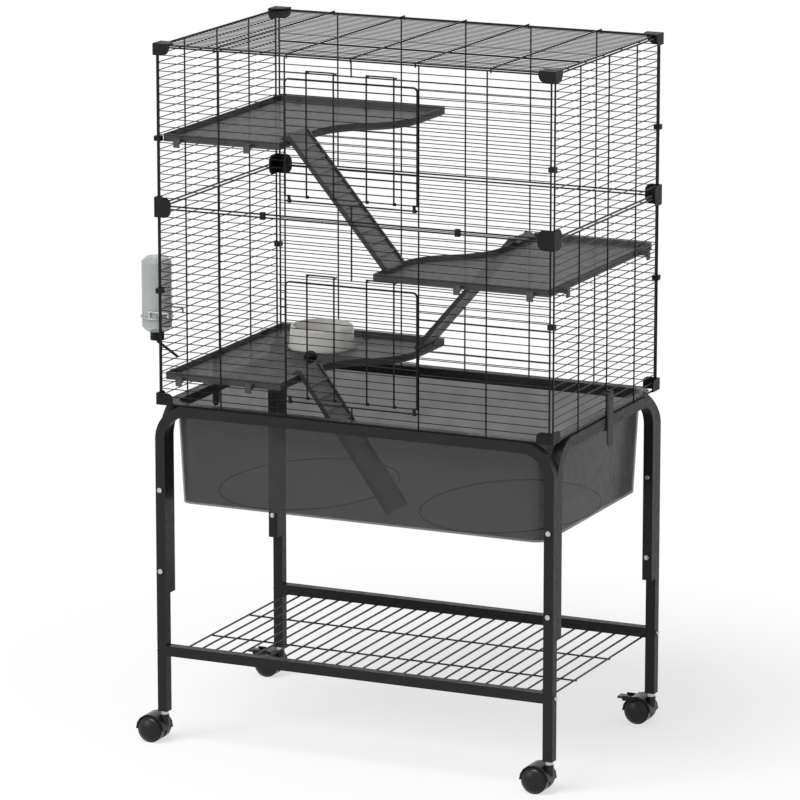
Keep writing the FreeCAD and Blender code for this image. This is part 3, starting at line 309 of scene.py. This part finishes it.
def dress():
    """Give every CAD node the finish of its material slot, and the ramps their own grey."""
    finishes = {
        "coated_tube": powder_coat(),
        "coated_wire": wire_coat(),
        "plated_steel": zinc_plate(),
        "tray_plastic": smoke_tray(),
        "shelf_plastic": shelf_plastic("grey_shelf_plastic", SHELF_GREY, SHELF_UNSHADED_LIP_SHARE),
        "fitting_plastic": moulded_black(),
        "caster_plastic": caster_nylon(),
        "bowl_plastic": bowl_plastic(),
        "bottle_plastic": bottle_plastic(),
    }
    ramp_finish = shelf_plastic("grey_ramp_plastic", RAMP_GREY, RAMP_UNSHADED_LIP_SHARE)
    for part in frame["record"]["subparts"]:
        is_ramp = part["node"].endswith("_ramp")
        obj = nodes[part["node"]]
        obj.data.materials.clear()
        obj.data.materials.append(ramp_finish if is_ramp else finishes[part["material_slot"]])
    return finishes


def soften(names, width_mm):
    """Round the edges of moulded fittings and square tubes so that they catch the light."""
    for name in names:
        bevel = nodes[name].modifiers.new("rounded_edges", "BEVEL")
        bevel.width = width_mm * MM
        bevel.segments = ROUND_STEPS
        bevel.limit_method = "ANGLE"
        bevel.angle_limit = math.radians(ROUND_FROM)
        bevel.harden_normals = True


def join_facets(obj):
    """Shade an object's facets as one curve and join the points that they share."""
    obj.data.polygons.foreach_set("use_smooth", [True] * len(obj.data.polygons))
    weld = obj.modifiers.new("joined_facets", "WELD")
    weld.merge_threshold = JOIN_GAP * MM


def smooth_rounds(names):
    """Smooth the facets of round pieces and keep their real edges sharp."""
    for name in names:
        join_facets(nodes[name])
        split = nodes[name].modifiers.new("sharp_edges", "EDGE_SPLIT")
        split.split_angle = math.radians(SHARP_FROM)


def piece(obj, name, body, slot, finishes):
    """Name a piece of the scene, dress it and let it ride on a CAD body."""
    obj.name = name
    obj.data.materials.append(finishes[slot])
    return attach(obj, body)


def turned(name, profile, node, body, slot, finishes):
    """A smooth round piece that fills a node's box and stands for it; profile in shares of that box."""
    low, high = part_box(node)
    middle = (low + high) / 2
    radius = (high.x - low.x) / 2
    points = []
    for out, up in profile:
        for step in range(TURN_STEPS):
            angle = math.tau * step / TURN_STEPS
            across = radius * out
            place = (middle.x + across * math.cos(angle), middle.y + across * math.sin(angle))
            points.append(place + (low.z + (high.z - low.z) * up,))
    faces = []
    for ring in range(len(profile) - 1):
        first = ring * TURN_STEPS
        above = first + TURN_STEPS
        for step in range(TURN_STEPS):
            beside = (step + 1) % TURN_STEPS
            faces.append((first + step, first + beside, above + beside, above + step))
    mesh = bpy.data.meshes.new(name)
    mesh.from_pydata(points, [], faces)
    obj = bpy.data.objects.new(name, mesh)
    bpy.context.scene.collection.objects.link(obj)
    join_facets(obj)
    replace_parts(piece(obj, name, body, slot, finishes), node)


def bowl_and_knob(finishes):
    """The bowl tapers to its rim, as in the photo, and the knob in front of it is a ball."""
    turned("tapered_bowl", BOWL_PROFILE, "food_bowl", "cage_and_stand", "bowl_plastic", finishes)
    half_turn = [math.pi * step / BALL_STEPS for step in range(BALL_STEPS + 1)]
    ball = [(math.sin(angle), (1 - math.cos(angle)) / 2) for angle in half_turn]
    turned("ball_knob", ball, "round_knob", "cage_and_stand", "fitting_plastic", finishes)


def wheel_domes(finishes):
    """The domed outer face of each caster wheel, which carries the round highlight seen in the photo."""
    for name in nodes:
        if not name.endswith("_caster_wheels"):
            continue
        body = name.replace("_caster_wheels", "_wheels")
        low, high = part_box(name)
        middle = (low + high) / 2
        radius = (high.z - low.z) / 2
        for side, face_y in (("front", low.y), ("rear", high.y)):
            bpy.ops.mesh.primitive_uv_sphere_add(
                segments=DOME_FACETS, ring_count=DOME_RINGS, radius=1, location=(middle.x, face_y, middle.z))
            dome = bpy.context.object
            dome.scale = (radius * DOME_SHARE, DOME_HEIGHT * MM, radius * DOME_SHARE)
            bpy.ops.object.shade_smooth()
            piece(dome, "%s_%s_dome" % (body, side), body, "caster_plastic", finishes)


def tray_floor_rings(finishes):
    """The two oval ridges of the tray's floor, which show faintly through its front wall."""
    floor_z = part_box("deep_tray")[0].z + TRAY_WALL * MM
    for name, side in (("left", -1), ("right", 1)):
        bpy.ops.mesh.primitive_torus_add(
            location=(RING_X * side * MM, 0, floor_z),
            major_segments=RING_FACETS, minor_segments=RIDGE_FACETS,
            major_radius=RING_HALF_WIDTH * MM, minor_radius=RING_RIDGE * MM)
        ring = bpy.context.object
        ring.scale.y = RING_STRETCH
        piece(ring, name + "_tray_floor_ring", "cage_and_stand", "fitting_plastic", finishes)


def white_in_view(tree, shown, hidden):
    """Seen directly, in a reflection or through plastic, a thing is shown; as a light it is hidden."""
    path = add(tree, "LightPath").outputs
    mirrored = add(tree, "Math", {0: path["Is Camera Ray"], 1: path["Is Glossy Ray"]}, operation="ADD")
    inputs = {0: mirrored.outputs["Value"], 1: path["Is Transmission Ray"]}
    seen = add(tree, "Math", inputs, operation="ADD", use_clamp=True).outputs["Value"]
    return add(tree, "MixShader", {0: seen, 1: hidden, 2: shown}).outputs["Shader"]


def shadow_share(tree):
    """How much of the floor's own light and shade shows: some beside the cage, none far away."""
    place = add(tree, "TexCoord").outputs["Object"]
    away = add(tree, "VectorMath", {0: place}, operation="LENGTH").outputs["Value"]
    inputs = {
        "Value": away,
        "From Min": SHADOW_NEAR,
        "From Max": SHADOW_FAR,
        "To Min": SHADOW_SHARE,
        "To Max": 0,
    }
    return add(tree, "MapRange", inputs).outputs["Result"]


def studio_floor():
    """Pale paper that keeps a faint shadow of the cage and turns white farther off."""
    bpy.ops.mesh.primitive_plane_add(size=FLOOR_SIDE)
    floor = bpy.context.object
    floor.name = "studio_floor"
    material, tree = new_material("studio_paper")
    paper = add(tree, "BsdfDiffuse", {"Color": linear(FLOOR_PALE)}).outputs["BSDF"]
    white = add(tree, "Emission", {"Color": WHITE, "Strength": 1}).outputs["Emission"]
    shaded = add(tree, "MixShader", {0: shadow_share(tree), 1: white, 2: paper}).outputs["Shader"]
    floor.data.materials.append(finish_material(material, tree, white_in_view(tree, shaded, paper)))


def studio_surround():
    """White to the eye and a softer glow as a light."""
    world = bpy.data.worlds.new("studio_surround")
    world.use_nodes = True
    tree = world.node_tree
    tree.nodes.clear()
    white = add(tree, "Background", {"Color": WHITE, "Strength": 1}).outputs["Background"]
    soft = add(tree, "Background", {"Color": WHITE, "Strength": SURROUND_GLOW}).outputs["Background"]
    add(tree, "OutputWorld", {"Surface": white_in_view(tree, white, soft)})
    bpy.context.scene.world = world


def studio_lamps():
    """A broad lamp above and a weaker one from the front left."""
    for name, place, width, watts in LAMPS:
        light = bpy.data.lights.new(name, "AREA")
        light.energy = watts
        light.size = width
        lamp = bpy.data.objects.new(name, light)
        lamp.location = place
        aim = Vector(LAMP_AIM) - Vector(place)
        lamp.rotation_euler = aim.to_track_quat("-Z", "Y").to_euler()
        bpy.context.scene.collection.objects.link(lamp)


def photographer():
    """The camera at the photo's angle, with the plain view that shows colours as they are written."""
    camera = bpy.data.cameras.new("photo_camera")
    camera.lens = LENS_MM
    camera.sensor_width = SENSOR_MM
    camera.clip_end = CAMERA_REACH
    holder = bpy.data.objects.new("photo_camera", camera)
    holder.location = CAMERA_PLACE
    holder.rotation_euler = (math.radians(CAMERA_TILT), 0, math.radians(CAMERA_TURN))
    scene = bpy.context.scene
    scene.collection.objects.link(holder)
    scene.camera = holder
    scene.view_settings.view_transform = "Standard"
    scene.render.resolution_x = VIEW_SIDE
    scene.render.resolution_y = VIEW_SIDE


finishes = dress()
soften(FITTINGS, FITTING_ROUND)
soften(TUBES, TUBE_ROUND)
smooth_rounds([name for name in nodes if name.endswith(ROUND_NODES)])
wheel_domes(finishes)
tray_floor_rings(finishes)
bowl_and_knob(finishes)
studio_floor()
studio_surround()
studio_lamps()
photographer()
